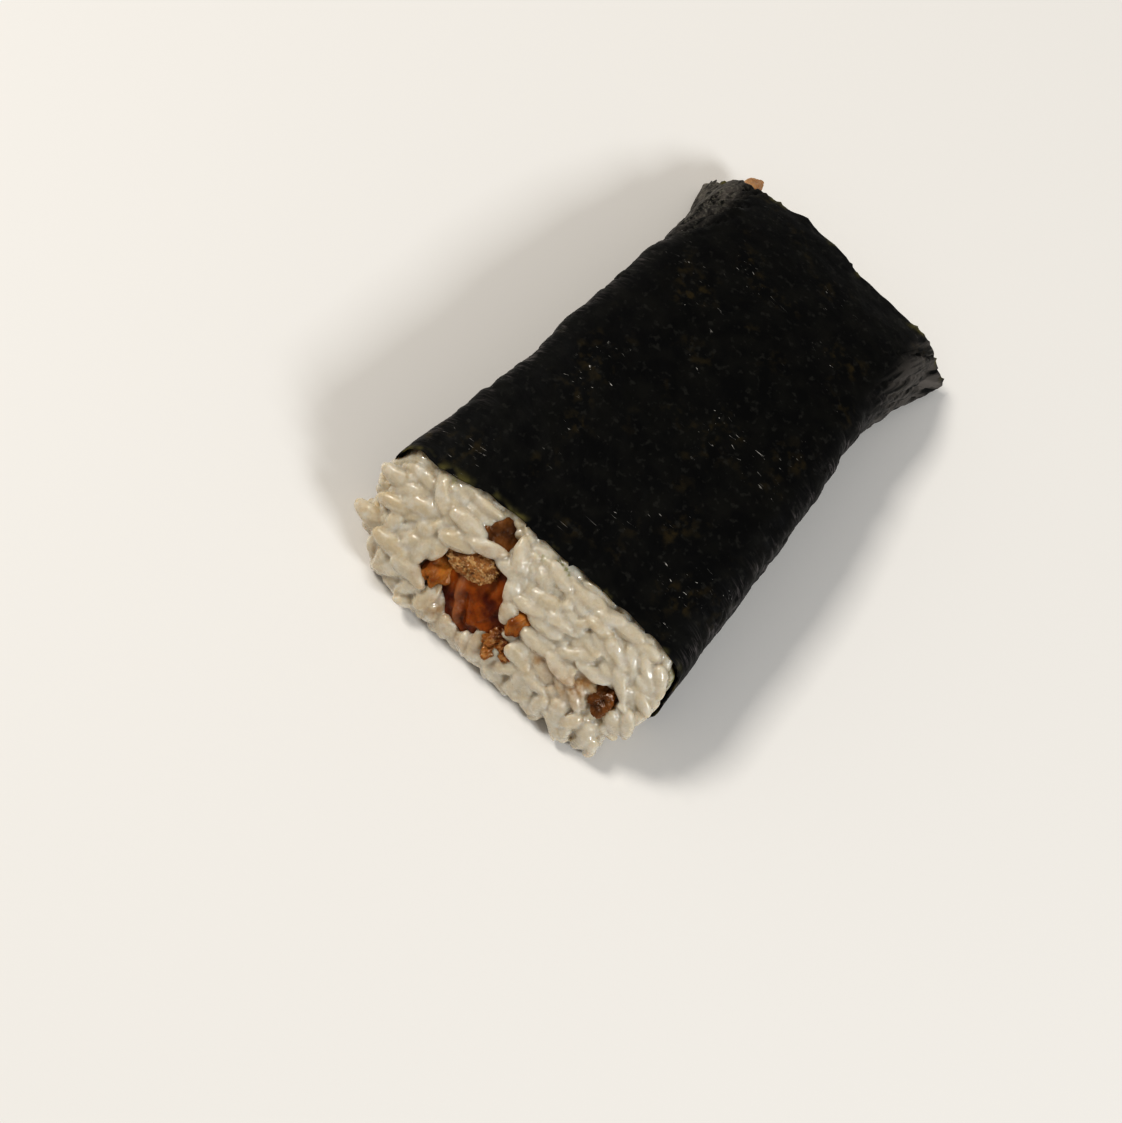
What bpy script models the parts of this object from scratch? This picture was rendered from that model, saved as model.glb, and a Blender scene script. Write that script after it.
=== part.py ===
"""A musubi: a flat bar of rice with glazed chicken in it, wrapped in a half sheet of nori.

+Z is up and +Y runs along the bar. At the near end (-Y) the rice swells out of the sheet
in a rough slope that shows the filling. At the far end the sheet is pressed down over the
rice and its lower corners flare. The bar lies on the plain part of its underside.
Sizes are in millimetres, and each finished mesh is scaled to metres.
"""
import math
import random

import bmesh
import bpy
import numpy as np
from mathutils import Euler, Matrix, Vector, noise

MM = 0.001
GAP = 0.3  # left between neighbouring pieces

# The nori is half a sheet: its short side runs along the bar, its long side round it.
SHEET_ALONG = 102.0
SHEET_ROUND = 190.0
SHEET_THICK = 0.5
SHEET_CELLS_ROUND = 38
SHEET_CELLS_ALONG = 18
SHEET_WAVE = 0.45
WAVE_LENGTH = 16.0
WAVE_START = (0.5, 5.0)  # heights between which the waves set in: the underside is flat
RAGGED = 1.0
TEAR_LENGTH = 4.0
RIM_SHARPNESS = 12  # power that keeps the ragged edge to the sheet's rims
LAP_START = -97.0  # degrees round the outline where the inner end of the sheet begins
LAP_EASE = 10.0  # the way over which the sheet comes down off its own inner end
WALK_TURN = 440.0  # degrees over which the way round the outline is measured: a turn and the lap
WALK_STEP = 0.5

# The rims of the sheet. The near rim reaches further out underneath than on top.
NEAR_RIM = -50.0
NEAR_RIM_SLANT = 6.5
FAR_RIM = NEAR_RIM + SHEET_ALONG
FAR_RIM_BOW = 3.0  # how far the top of the far rim bows out, at the bow's own X
FAR_BOW_MIDDLE = -8.0
FAR_BOW_WIDTH = 14.0
FAR_BOW_START = (2.0, 9.0)  # heights between which the bow sets in

# The outline of the wrapped bar, as (Y, size) pairs from the near end to the far end.
BASE_HALF_WIDTH = ((-50, 38.0), (-22, 35.2), (0, 33.4), (24, 31.4), (38, 34.0), (52, 36.5))
TOP_HALF_WIDTH = ((-50, 36.0), (-22, 33.8), (0, 32.4), (24, 30.8), (38, 30.0), (52, 29.0))
HEIGHT = ((-50, 27.0), (-8, 27.0), (24, 23.5), (44, 18.0), (52, 14.5))
MIDDLE = ((-50, 0.2), (-22, 1.0), (0, 1.0), (24, 0.2), (38, 1.2), (52, 0.8))
SQUARENESS = 5.0  # power of the superellipse that rounds the outline's corners
FLATTENED = 0.3  # how much of the underside is pressed flat by its own weight
EAR_REACH = 3.0  # how far the lower corners stand out at the far rim
EAR_START = 38.0
EAR_HEIGHT = (1.0, 8.0)  # heights between which the flare dies out

# The rice bar inside the sheet, and the slope in which it swells out of the near end.
RICE_INSET = SHEET_THICK + SHEET_WAVE + 2.5 * GAP
RICE_BARE_INSET = 0.5
SLOPE_TOP = -50.5
SLOPE_REACH = 19.5
SLOPE_TOP_Z = 25.0
SLOPE_FOOT_Z = 2.0
SLOPE_CORNER_LOSS = 0.6
SLOPE_HALF_WIDTH = (36.0, 43.0)  # left and right: the right-hand corner is the squarer
FAR_FACE = 48.0
FACE_ROUNDING = 2.0
FOOT_CORNER_LOSS = 2.6  # how far the slope's right-hand foot is drawn in, between these X and Z
FOOT_CORNER_X = (24.0, 34.0)
FOOT_CORNER_Z = (15.0, 5.0)
RICE_SEGMENTS = 32
RICE_RINGS = 20
RICE_CAP = 4  # rings on each end face

# Cooked rice grains, which show at both ends.
GRAIN_LENGTH = 8.0
GRAIN_WIDTH = 3.7
GRAIN_THICKNESS = 3.2
GRAIN_SEED = 2
GRAIN_SEGMENTS = 5
GRAIN_RINGS = 4
GRAIN_LIFT = 0.7  # how high above the bar's surface the middle of a grain may lie
GRAIN_LEANS = (0.0, 0.1, 0.2, 0.45)  # how far a grain leans out of the surface
GRAIN_TURNS = 14  # tries at laying a grain clear of the sheet, each a little deeper
GRAIN_SINK = 0.08
GRAIN_TRIES = 60  # places tried for each grain
EDGE_PARTS = (0, 0.25, 0.5, 0.75, 1)  # where along its edges a grain is tested against the sheet
# How many grains lie on each face of the bar, and how far apart.
NEAR_GRAINS, NEAR_SPACING = 110, 4.2
FOOT_GRAINS, FOOT_SPACING = 6, 9.0
FAR_GRAINS, FAR_SPACING = 24, 4.2

# The long piece of chicken at its near and far ends: middle X, middle Z, half width, half height.
STRIP_NEAR = (-4.3, 12.8, 8.0, 7.4)
STRIP_FAR = (-6.0, 7.6, 11.0, 4.2)
STRIP_RECESS = -1.0
STRIP_NEAR_ROUNDING = 1.5
STRIP_FAR_ROUNDING = 2.0
STRIP_CRAG = 0.16
STRIP_CRAGS_ALONG = 9
STRIP_SEGMENTS = 14
STRIP_RINGS = 16
STRIP_CAP = 3
LUMP_PITCH = 1.6  # crags to a half turn of a short piece
CUT_GAP = 1.3 * GAP  # left between a piece of chicken and what is cut away round it

RICE_COLOUR = (0.68, 0.61, 0.49)
NORI_COLOUR = (0.012, 0.014, 0.010)
GLAZED_COLOUR = (0.24, 0.055, 0.014)
CRISP_COLOUR = (0.42, 0.17, 0.05)
PALE_COLOUR = (0.45, 0.24, 0.13)
CHICKEN_COLOURS = {
    "chicken_crisp": CRISP_COLOUR,
    "chicken_glazed": GLAZED_COLOUR,
    "chicken_pale": PALE_COLOUR,
}

# The shorter pieces: name, centre, half sizes, turn about Y, roughness, cuts, material.
LUMPS = (
    ("chicken_crisp", (-10.0, -58.8, 17.3), (6.2, 4.2, 3.2), -14, 0.25, 3, "chicken_crisp"),
    ("chicken_crumbs", (3.4, -65.8, 9.8), (4.2, 4.3, 2.6), -26, 0.55, 3, "chicken_glazed"),
    ("chicken_left", (-14.9, -62.6, 12.4), (3.3, 5.6, 2.6), 0, 0.35, 2, "chicken_glazed"),
    ("chicken_right", (4.4, -60.4, 15.6), (2.8, 5.2, 2.6), 0, 0.25, 2, "chicken_glazed"),
    ("chicken_edge", (-8.6, -51.6, 21.9), (5.2, 6.2, 1.8), 12, 0.3, 2, "chicken_glazed"),
    ("chicken_side", (26.9, -60.8, 13.7), (3.3, 4.2, 2.0), -12, 0.45, 2, "chicken_glazed"),
    ("chicken_far", (-24.5, 50.0, 8.4), (3.0, 8.5, 3.6), 0, 0.2, 2, "chicken_pale"),
)


def ease(low, high, value):
    """0 below low, 1 above high, and a smooth step between them."""
    part = min(max((value - low) / (high - low), 0.0), 1.0)
    return part * part * (3 - 2 * part)


def along(profile, y):
    """The profile's size at y, on a smooth curve through its points."""
    places = [place for place, size in profile]
    sizes = [size for place, size in profile]
    y = min(max(y, places[0]), places[-1])
    slopes = np.gradient(sizes, places)
    k = min(int(np.searchsorted(places, y, side="right")) - 1, len(places) - 2)
    step = places[k + 1] - places[k]
    part = (y - places[k]) / step
    rise = part * part * (3 - 2 * part)
    leave = part * (1 - part) ** 2 * step * slopes[k]
    arrive = part * part * (part - 1) * step * slopes[k + 1]
    return float(sizes[k] + (sizes[k + 1] - sizes[k]) * rise + leave + arrive)


def outline_point(y, angle, inset=0.0, ear_reach=0.0):
    """A point of the bar's outline at y, at an angle from +X towards +Z, moved inwards by inset."""
    half_height = along(HEIGHT, y) / 2
    across, up = math.cos(angle), math.sin(angle)
    across = math.copysign(abs(across) ** (2 / SQUARENESS), across)
    up = math.copysign(abs(up) ** (2 / SQUARENESS), up)
    z = half_height * (1 + up)
    half_width = bar_half_width(y, z)
    ear = ear_reach * ease(EAR_START, FAR_RIM, y) * (1 - ease(*EAR_HEIGHT, z))
    x = across * (half_width + ear - inset)
    z = half_height + up * (half_height - inset)
    return Vector((along(MIDDLE, y) + x, y, max(z - FLATTENED, inset)))


def bar_half_width(y, z):
    """Half the bar's width at y and z: its sides lean in towards the top."""
    height = along(HEIGHT, y)
    part = min(max(z / height, 0.0), 1.0)
    return along(BASE_HALF_WIDTH, y) * (1 - part) + along(TOP_HALF_WIDTH, y) * part


def inside_outline(point, inset):
    """Whether the point is inside the bar's outline by at least the inset."""
    half_height = along(HEIGHT, point.y) / 2
    half_width = bar_half_width(point.y, point.z) - inset
    across = abs(point.x - along(MIDDLE, point.y)) / half_width
    up = abs(point.z + FLATTENED - half_height) / (half_height - inset)
    return across ** SQUARENESS + up ** SQUARENESS < 1 and point.z >= inset


def near_rim(z):
    """Y of the sheet's near rim at the height z."""
    return NEAR_RIM - NEAR_RIM_SLANT * (1 - z / along(HEIGHT, NEAR_RIM))


def slope_face(x, z):
    """Y of the rough slope that the rice makes at the near end."""
    drop = min(max((SLOPE_TOP_Z - z) / (SLOPE_TOP_Z - SLOPE_FOOT_Z), 0.0), 1.0)
    corner = min(abs(x) / SLOPE_HALF_WIDTH[x > 0], 1.0) ** 6
    return SLOPE_TOP - SLOPE_REACH * math.sin(drop * math.pi / 2) * (1 - SLOPE_CORNER_LOSS * corner)


def new_object(name, shape, parent=None):
    """Turn a bmesh in millimetres into a named object in metres, with outward faces."""
    if shape.calc_volume(signed=True) < 0:
        bmesh.ops.reverse_faces(shape, faces=shape.faces)
    bmesh.ops.scale(shape, vec=(MM, MM, MM), verts=shape.verts)
    mesh = bpy.data.meshes.new(name)
    shape.to_mesh(mesh)
    shape.free()
    thing = bpy.data.objects.new(name, mesh)
    thing.parent = parent
    bpy.context.scene.collection.objects.link(thing)
    return thing


def give_material(thing, name, colour, roughness):
    """Give the object one Principled material."""
    material = bpy.data.materials.get(name) or bpy.data.materials.new(name)
    material.use_nodes = True
    shader = material.node_tree.nodes["Principled BSDF"]
    shader.inputs["Base Color"].default_value = (*colour, 1)
    shader.inputs["Roughness"].default_value = roughness
    material.diffuse_color = (*colour, 1)
    thing.data.materials.clear()
    thing.data.materials.append(material)


def apply_modifiers(thing):
    """Swap the object's mesh for the one that its modifiers make."""
    bpy.context.view_layer.update()
    depsgraph = bpy.context.evaluated_depsgraph_get()
    made = bpy.data.meshes.new_from_object(thing.evaluated_get(depsgraph))
    made.name = thing.name
    thing.modifiers.clear()
    thing.data = made


def keep_largest_body(thing):
    """Keep the mesh's largest body: loose scraps and the walls of sealed hollows go."""
    shape = bmesh.new()
    shape.from_mesh(thing.data)
    bmesh.ops.triangulate(shape, faces=shape.faces)
    unseen = set(shape.faces)
    bodies = []
    while unseen:
        body = []
        front = [unseen.pop()]
        while front:
            face = front.pop()
            body.append(face)
            walls = [edge.link_faces for edge in face.edges if len(edge.link_faces) == 2]
            for neighbour in (next_face for pair in walls for next_face in pair if next_face in unseen):
                unseen.remove(neighbour)
                front.append(neighbour)
        bodies.append(body)
    bodies.sort(key=lambda body: sum(face.calc_area() for face in body))
    scraps = [face for body in bodies[:-1] for face in body]
    bmesh.ops.delete(shape, geom=scraps, context="FACES")
    shape.to_mesh(thing.data)
    shape.free()


def combine(thing, others, operation, solver="EXACT"):
    """Join the others to the object, or cut them out of it, as one collection, then remove them."""
    group = bpy.data.collections.new(thing.name + "_" + operation.lower())
    bpy.context.scene.collection.children.link(group)
    for other in others:
        bpy.context.scene.collection.objects.unlink(other)
        group.objects.link(other)
    boolean = thing.modifiers.new(operation.title(), "BOOLEAN")
    boolean.operation = operation
    boolean.solver = solver
    boolean.operand_type = "COLLECTION"
    boolean.collection = group
    apply_modifiers(thing)
    for other in others:
        bpy.data.objects.remove(other)
    bpy.data.collections.remove(group)
    keep_largest_body(thing)


def make_nori(parent):
    """Wrap a flat sheet round the bar, its outer end lapped over its inner end underneath."""
    sheet = bmesh.new()
    bmesh.ops.create_grid(sheet, x_segments=SHEET_CELLS_ROUND, y_segments=SHEET_CELLS_ALONG, size=0.5)
    angles = np.radians(LAP_START + np.arange(0, WALK_TURN + WALK_STEP, WALK_STEP))
    walks = {}
    for vert in sheet.verts:
        part_along = vert.co.y + 0.5
        y = NEAR_RIM + part_along * SHEET_ALONG
        if round(y, 3) not in walks:
            points = np.array([outline_point(y, angle, 0.0, EAR_REACH) for angle in angles])
            steps = np.linalg.norm(np.diff(points, axis=0), axis=1)
            walks[round(y, 3)] = np.concatenate([[0.0], np.cumsum(steps)])
        walk = walks[round(y, 3)]
        full_turn = walk[round(360 / WALK_STEP)]
        way = (vert.co.x + 0.5) * SHEET_ROUND
        angle = float(np.interp(way, walk, angles))
        lap = SHEET_ROUND - full_turn
        lift = (SHEET_THICK + GAP) * (1 - ease(lap, lap + LAP_EASE, way))
        flat = outline_point(y, angle, lift, EAR_REACH)
        ripple = 0.5 + 0.5 * noise.noise(flat / WAVE_LENGTH)
        wave = SHEET_WAVE * ripple * ease(*WAVE_START, flat.z)
        place = outline_point(y, angle, lift + wave, EAR_REACH)
        tear = RAGGED * noise.noise(flat / TEAR_LENGTH)
        rim = abs(2 * part_along - 1) ** RIM_SHARPNESS
        slant = (near_rim(flat.z) - NEAR_RIM) * (1 - part_along) ** 3
        bow = FAR_RIM_BOW * part_along ** 4 * ease(*FAR_BOW_START, flat.z)
        bow *= math.exp(-((flat.x - FAR_BOW_MIDDLE) / FAR_BOW_WIDTH) ** 2)
        place.y = y + slant + bow + tear * rim
        vert.co = place
    bmesh.ops.triangulate(sheet, faces=sheet.faces)
    nori = new_object("nori", sheet, parent)
    wall = nori.modifiers.new("Thickness", "SOLIDIFY")
    wall.thickness = SHEET_THICK * MM
    wall.offset = -1
    give_material(nori, "nori", NORI_COLOUR, 0.5)
    return nori


def unit_ball(segments, rings):
    """A ball of radius 1, with its faces in one set order: Blender makes them in any order."""
    shape = bmesh.new()
    bmesh.ops.create_uvsphere(shape, u_segments=segments, v_segments=rings, radius=1)
    shape.verts.index_update()
    in_order = sorted(shape.faces, key=lambda face: sorted(vert.index for vert in face.verts))
    places = {face: place for place, face in enumerate(in_order)}
    shape.faces.sort(key=lambda face: places[face])
    return shape


def ring_place(corner, rings, cap):
    """Which ring of a unit ball a corner is on, how far out it is on an end face, and its angle."""
    ring = round((math.asin(max(-1.0, min(1.0, corner.z))) / math.pi + 0.5) * rings)
    return ring, min(ring / cap, (rings - ring) / cap, 1.0), math.atan2(corner.y, corner.x)


def make_rice_bar():
    """The packed bar: rings from the slope at the near end to the blunt far end."""
    bar = unit_ball(RICE_SEGMENTS, RICE_RINGS)
    slope_middle = Vector((along(MIDDLE, SLOPE_TOP), SLOPE_TOP, along(HEIGHT, SLOPE_TOP) / 2))
    for vert in bar.verts:
        ring, spread, angle = ring_place(vert.co, RICE_RINGS, RICE_CAP)
        edge = outline_point(SLOPE_TOP, angle, RICE_BARE_INSET)
        near = slope_middle.lerp(edge, spread)
        near_y = slope_face(near.x, near.z) + FACE_ROUNDING * spread ** 4
        wrapped_y = max(near_y + GAP, near_rim(edge.z) - RAGGED - GAP)
        far_y = FAR_FACE - FACE_ROUNDING * spread ** 4
        under_sheet = np.linspace(wrapped_y, far_y, RICE_RINGS - 2 * RICE_CAP - 1)
        stations = [near_y, (near_y + wrapped_y) / 2, *under_sheet]
        y = stations[min(max(ring - RICE_CAP, 0), len(stations) - 1)]
        wrapped = y >= near_rim(edge.z) - RAGGED - 2 * GAP
        edge = outline_point(y, angle, RICE_INSET if wrapped else RICE_BARE_INSET)
        middle = Vector((along(MIDDLE, y), y, along(HEIGHT, y) / 2))
        vert.co = middle.lerp(edge, spread)
        if not wrapped:
            corner = ease(*FOOT_CORNER_X, vert.co.x) * ease(*FOOT_CORNER_Z, vert.co.z)
            vert.co.x -= FOOT_CORNER_LOSS * corner
    return new_object("rice", bar)


def clear_of_sheet(point):
    """Whether a point of a grain is above the plate and clear of the nori."""
    if point.z < GAP:
        return False
    if point.y < near_rim(point.z) - RAGGED - GAP or point.y > FAR_RIM + RAGGED + GAP:
        return True
    return inside_outline(point, RICE_INSET - GAP)


def scatter_grains(bar, count, spacing, accept, rng):
    """Lay grains on the bar where accept() allows, no two closer than the spacing."""
    corners = [vert.co / MM for vert in bar.data.vertices]
    polys = [
        poly for poly in bar.data.polygons
        if any(accept(corners[index], poly.normal) for index in poly.vertices)
    ]
    areas = [poly.area for poly in polys]
    placed = []
    grains = []
    for attempt in range(count * GRAIN_TRIES):
        if len(grains) == count:
            break
        poly = rng.choices(polys, weights=areas)[0]
        weights = [rng.random() + 0.05 for index in poly.vertices]
        spot = sum((corners[index] * weight for index, weight in zip(poly.vertices, weights)), Vector())
        spot /= sum(weights)
        if not accept(spot, poly.normal) or any((spot - other).length < spacing for other in placed):
            continue
        grain = lay_grain(spot, poly.normal, rng)
        if grain:
            placed.append(spot)
            grains.append(grain)
    return grains


def lay_grain(spot, normal, rng):
    """One grain on the spot, mostly flat on the surface, turned until it is clear of the sheet."""
    size = rng.uniform(0.9, 1.1)
    axes = Vector((GRAIN_THICKNESS, GRAIN_WIDTH, GRAIN_LENGTH)) * (size / 2)
    for turn in range(GRAIN_TURNS):
        flat = Vector((rng.gauss(0, 1), rng.gauss(0, 1), rng.gauss(0, 1)))
        flat = (flat - normal * flat.dot(normal)).normalized()
        lean = flat.lerp(normal, rng.choice(GRAIN_LEANS)).normalized()
        facing = lean.to_track_quat("Z", "X").to_matrix().to_4x4()
        lift = normal * (rng.uniform(0.0, GRAIN_LIFT) - turn * GRAIN_SINK)
        place = Matrix.Translation(spot + lift) @ facing @ Matrix.Diagonal(axes).to_4x4()
        shape = unit_ball(GRAIN_SEGMENTS, GRAIN_RINGS)
        bmesh.ops.transform(shape, matrix=place, verts=shape.verts)
        ends = [(edge.verts[0].co, edge.verts[1].co) for edge in shape.edges]
        if all(clear_of_sheet(start.lerp(end, part)) for start, end in ends for part in EDGE_PARTS):
            return new_object("grain", shape)
        shape.free()
    return None


def make_rice(parent):
    """The bar with the grains that show at its ends fused on."""
    rng = random.Random(GRAIN_SEED)
    rice = make_rice_bar()

    def on_slope(spot, normal):
        return spot.y < near_rim(spot.z) - 1.0 and normal.z > -0.6

    def on_foot(spot, normal):
        return spot.y < near_rim(spot.z) - 3.5 and normal.z <= -0.6

    def on_far_face(spot, normal):
        return spot.y > FAR_FACE - 3.0 and normal.y > 0.5

    grains = scatter_grains(rice, NEAR_GRAINS, NEAR_SPACING, on_slope, rng)
    grains += scatter_grains(rice, FOOT_GRAINS, FOOT_SPACING, on_foot, rng)
    grains += scatter_grains(rice, FAR_GRAINS, FAR_SPACING, on_far_face, rng)
    combine(rice, grains, "UNION")
    rice.parent = parent
    give_material(rice, "rice", RICE_COLOUR, 0.4)
    return rice


def lump(radii, roughness, grow, cuts, seed):
    """A craggy lump of chicken about its own centre, grown outwards by grow."""
    shape = bmesh.new()
    bmesh.ops.create_icosphere(shape, subdivisions=cuts, radius=1)
    for vert in shape.verts:
        way = vert.co.copy()
        crag = 1 + roughness * noise.noise(way * LUMP_PITCH + Vector((seed, 0, 0)))
        vert.co = Vector((way.x * radii[0], way.y * radii[1], way.z * radii[2])) * crag + way * grow
    return shape


def strip(grow):
    """The long piece that runs through the bar, from the slope to the far face."""
    shape = unit_ball(STRIP_SEGMENTS, STRIP_RINGS)
    for vert in shape.verts:
        ring, spread, angle = ring_place(vert.co, STRIP_RINGS, STRIP_CAP)
        part = min(max((ring - STRIP_CAP) / (STRIP_RINGS - 2 * STRIP_CAP), 0.0), 1.0)
        middle_x = STRIP_NEAR[0] + (STRIP_FAR[0] - STRIP_NEAR[0]) * part
        middle_z = STRIP_NEAR[1] + (STRIP_FAR[1] - STRIP_NEAR[1]) * ease(0.4, 1.0, part)
        half_width = STRIP_NEAR[2] + (STRIP_FAR[2] - STRIP_NEAR[2]) * part
        half_height = STRIP_NEAR[3] + (STRIP_FAR[3] - STRIP_NEAR[3]) * ease(0.4, 1.0, part)
        round_it = Vector((2 * math.cos(angle), part * STRIP_CRAGS_ALONG, 2 * math.sin(angle)))
        crag = 1 + STRIP_CRAG * noise.noise(round_it)
        across = math.cos(angle) * spread * (half_width * crag + grow)
        up = math.sin(angle) * spread * (half_height * crag + grow)
        x, z = middle_x + across, middle_z + up
        near_y = slope_face(x, z) + STRIP_RECESS + STRIP_NEAR_ROUNDING * spread ** 2 - grow
        far_y = FAR_FACE + 1.0 - STRIP_FAR_ROUNDING * spread ** 2 + grow
        vert.co = Vector((x, near_y + (far_y - near_y) * part, z))
    return shape


def make_chicken(parent):
    """All the pieces of filling, each cut clear of those before it, and their cutters."""
    pieces = []
    cutters = []
    for seed, (name, centre, radii, turn, roughness, cuts, material) in enumerate(LUMPS):
        piece = new_object(name, lump(radii, roughness, 0.0, cuts, seed), parent)
        cutter = new_object(name + "_cutter", lump(radii, roughness, CUT_GAP, cuts, seed))
        for thing in (piece, cutter):
            thing.location = Vector(centre) * MM
            thing.rotation_euler = Euler((0, math.radians(turn), 0))
        cut_with_copies(piece, cutters)
        give_material(piece, material, CHICKEN_COLOURS[material], 0.25)
        pieces.append(piece)
        cutters.append(cutter)
    core = new_object("chicken_core", strip(0.0), parent)
    cut_with_copies(core, cutters)
    give_material(core, "chicken_glazed", GLAZED_COLOUR, 0.2)
    cutters.append(new_object("chicken_core_cutter", strip(CUT_GAP)))
    return pieces + [core], cutters


def cut_with_copies(thing, cutters):
    """Cut the cutters' shapes out of the object, and keep the cutters for later."""
    copies = []
    for cutter in cutters:
        copy = bpy.data.objects.new(cutter.name, cutter.data)
        copy.matrix_world = cutter.matrix_basis
        bpy.context.scene.collection.objects.link(copy)
        copies.append(copy)
    if copies:
        combine(thing, copies, "DIFFERENCE")


def stand_on_origin(parent):
    """Move the parent so that the origin is at the middle of the bounding box's underside."""
    bpy.context.view_layer.update()
    depsgraph = bpy.context.evaluated_depsgraph_get()
    corners = []
    for thing in parent.children:
        made = thing.evaluated_get(depsgraph)
        corners += [made.matrix_world @ vert.co for vert in made.data.vertices]
    low = Vector(min(corner[axis] for corner in corners) for axis in range(3))
    high = Vector(max(corner[axis] for corner in corners) for axis in range(3))
    parent.location = Vector((-(low.x + high.x) / 2, -(low.y + high.y) / 2, -low.z))


def main():
    for old in list(bpy.data.objects):
        bpy.data.objects.remove(old)
    musubi = bpy.data.objects.new("musubi", None)
    bpy.context.scene.collection.objects.link(musubi)
    make_nori(musubi)
    rice = make_rice(musubi)
    pieces, cutters = make_chicken(musubi)
    combine(rice, cutters, "DIFFERENCE")
    stand_on_origin(musubi)


main()
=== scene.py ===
"""A musubi: pressed rice with glazed chicken in it, wrapped round in a half sheet of nori.

The sections follow the food as it is put together: the rice bar, the filling, the grains round
the filling, the nori, and last the table, the light and the camera. Lengths are in millimetres
on the bar's own axes, with +Y from the open near end to the pressed-down far end; materials and
the last section are in the frame's metres.
"""
import math
import random

import bmesh
import bpy
import numpy as np
from mathutils import Euler, Matrix, Vector, noise
from mathutils.bvhtree import BVHTree
from mathutils.kdtree import KDTree


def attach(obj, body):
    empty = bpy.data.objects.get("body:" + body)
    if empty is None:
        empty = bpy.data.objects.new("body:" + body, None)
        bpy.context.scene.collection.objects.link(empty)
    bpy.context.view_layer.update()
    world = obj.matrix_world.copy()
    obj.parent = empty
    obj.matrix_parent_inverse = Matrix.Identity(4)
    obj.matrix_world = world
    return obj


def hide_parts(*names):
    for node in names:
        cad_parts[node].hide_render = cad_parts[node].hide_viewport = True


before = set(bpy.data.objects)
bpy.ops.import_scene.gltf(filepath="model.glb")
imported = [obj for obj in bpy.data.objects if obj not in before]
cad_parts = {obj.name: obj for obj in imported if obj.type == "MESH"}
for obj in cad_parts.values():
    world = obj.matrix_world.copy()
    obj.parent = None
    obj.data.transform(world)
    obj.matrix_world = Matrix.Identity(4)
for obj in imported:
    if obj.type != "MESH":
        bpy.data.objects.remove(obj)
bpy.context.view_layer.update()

# ---- The rice bar -----------------------------------------------------------------------------
# Cooked short-grain rice, pressed in a mould to a flat bar with rounded corners. The nori hides
# most of it. At the near end it swells out in a rough slope, and at the far end it is blunt.
MM = 0.001
BAR_PLACE = Matrix.Translation((-0.00058, 0.0071, 0)) @ Matrix.Scale(MM, 4)
GAP = 0.3
SQUARENESS = 5.0
FLATTENED = 0.3
NEAR_RIM = -50.0
NEAR_RIM_SLANT = 6.5
FAR_RIM = 52.0
SLOPE_TOP = -50.5
SLOPE_REACH = 19.5
SLOPE_TOP_Z = 25.0
SLOPE_FOOT_Z = 2.0
SLOPE_CORNER_LOSS = 0.6
SLOPE_HALF_WIDTH = (36.0, 43.0)
FAR_FACE = 48.0
# The sheet's far corners flare out from this Y to the far rim, and ever less between these heights.
EAR_START = 38.0
EAR_HEIGHTS = (1.0, 8.0)
# How far the core lies inside the bar: under the slope, under the nori, at the foot and the top of
# the near end, at its left side, and at the foot of the far end.
CORE_SINK = 1.4
CORE_INSET = 2.4
CORE_BARE_INSET = (1.6, 3.0)
CORE_LEFT_INSET = 0.9
CORE_FAR_INSET = 1.0
# The inset under the nori sets in this far behind the near rim, and the far one from Y to Y.
CORE_WRAP_START = (0.5, 7.0)
CORE_FAR_START = (38.0, 45.0)
CORE_FOOT_GAP = 0.4
CORE_LUMP = 0.7
CORE_LUMP_PITCH = (2.2, 2.0)
CORE_ROUNDING = (0.9, 2.0)
CORE_NEAR_SHARE = 0.25
CORE_FAR_ROUNDING = 0.8
FOOT_CORNER_LOSS = 2.6
FOOT_CORNER_X = (24.0, 34.0)
FOOT_CORNER_Z = (15.0, 5.0)


def smooth_profile(points):
    """A function that gives the size at a Y, on a smooth curve through the (Y, size) points."""
    places, sizes = zip(*points)
    slopes = np.gradient(sizes, places)

    def size_at(y):
        y = min(max(y, places[0]), places[-1])
        k = max(index for index in range(len(places) - 1) if places[index] <= y)
        step = places[k + 1] - places[k]
        part = (y - places[k]) / step
        rise = part * part * (3 - 2 * part)
        leave = part * (1 - part) ** 2 * step * slopes[k]
        arrive = part * part * (part - 1) * step * slopes[k + 1]
        return float(sizes[k] + (sizes[k + 1] - sizes[k]) * rise + leave + arrive)

    return size_at


base_half_width = smooth_profile(((-50, 38.0), (-22, 35.2), (0, 33.4), (24, 31.4), (38, 34.0), (52, 36.5)))
top_half_width = smooth_profile(((-50, 36.0), (-22, 33.8), (0, 32.4), (24, 30.8), (38, 30.0), (52, 29.0)))
bar_height = smooth_profile(((-50, 27.0), (-8, 27.0), (24, 23.5), (44, 18.0), (52, 14.5)))
bar_middle = smooth_profile(((-50, 0.2), (-22, 1.0), (0, 1.0), (24, 0.2), (38, 1.2), (52, 0.8)))


def ease(low, high, value):
    """0 at low, 1 at high and beyond, and a smooth step between them."""
    part = min(max((value - low) / (high - low), 0.0), 1.0)
    return part * part * (3 - 2 * part)


def blend(first, last, part):
    """The value that lies that part of the way from first to last."""
    return first + (last - first) * part


def half_width(y, z):
    """Half the bar's width at y and z: its sides lean in towards the top."""
    part = min(max(z / bar_height(y), 0.0), 1.0)
    return base_half_width(y) * (1 - part) + top_half_width(y) * part


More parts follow.
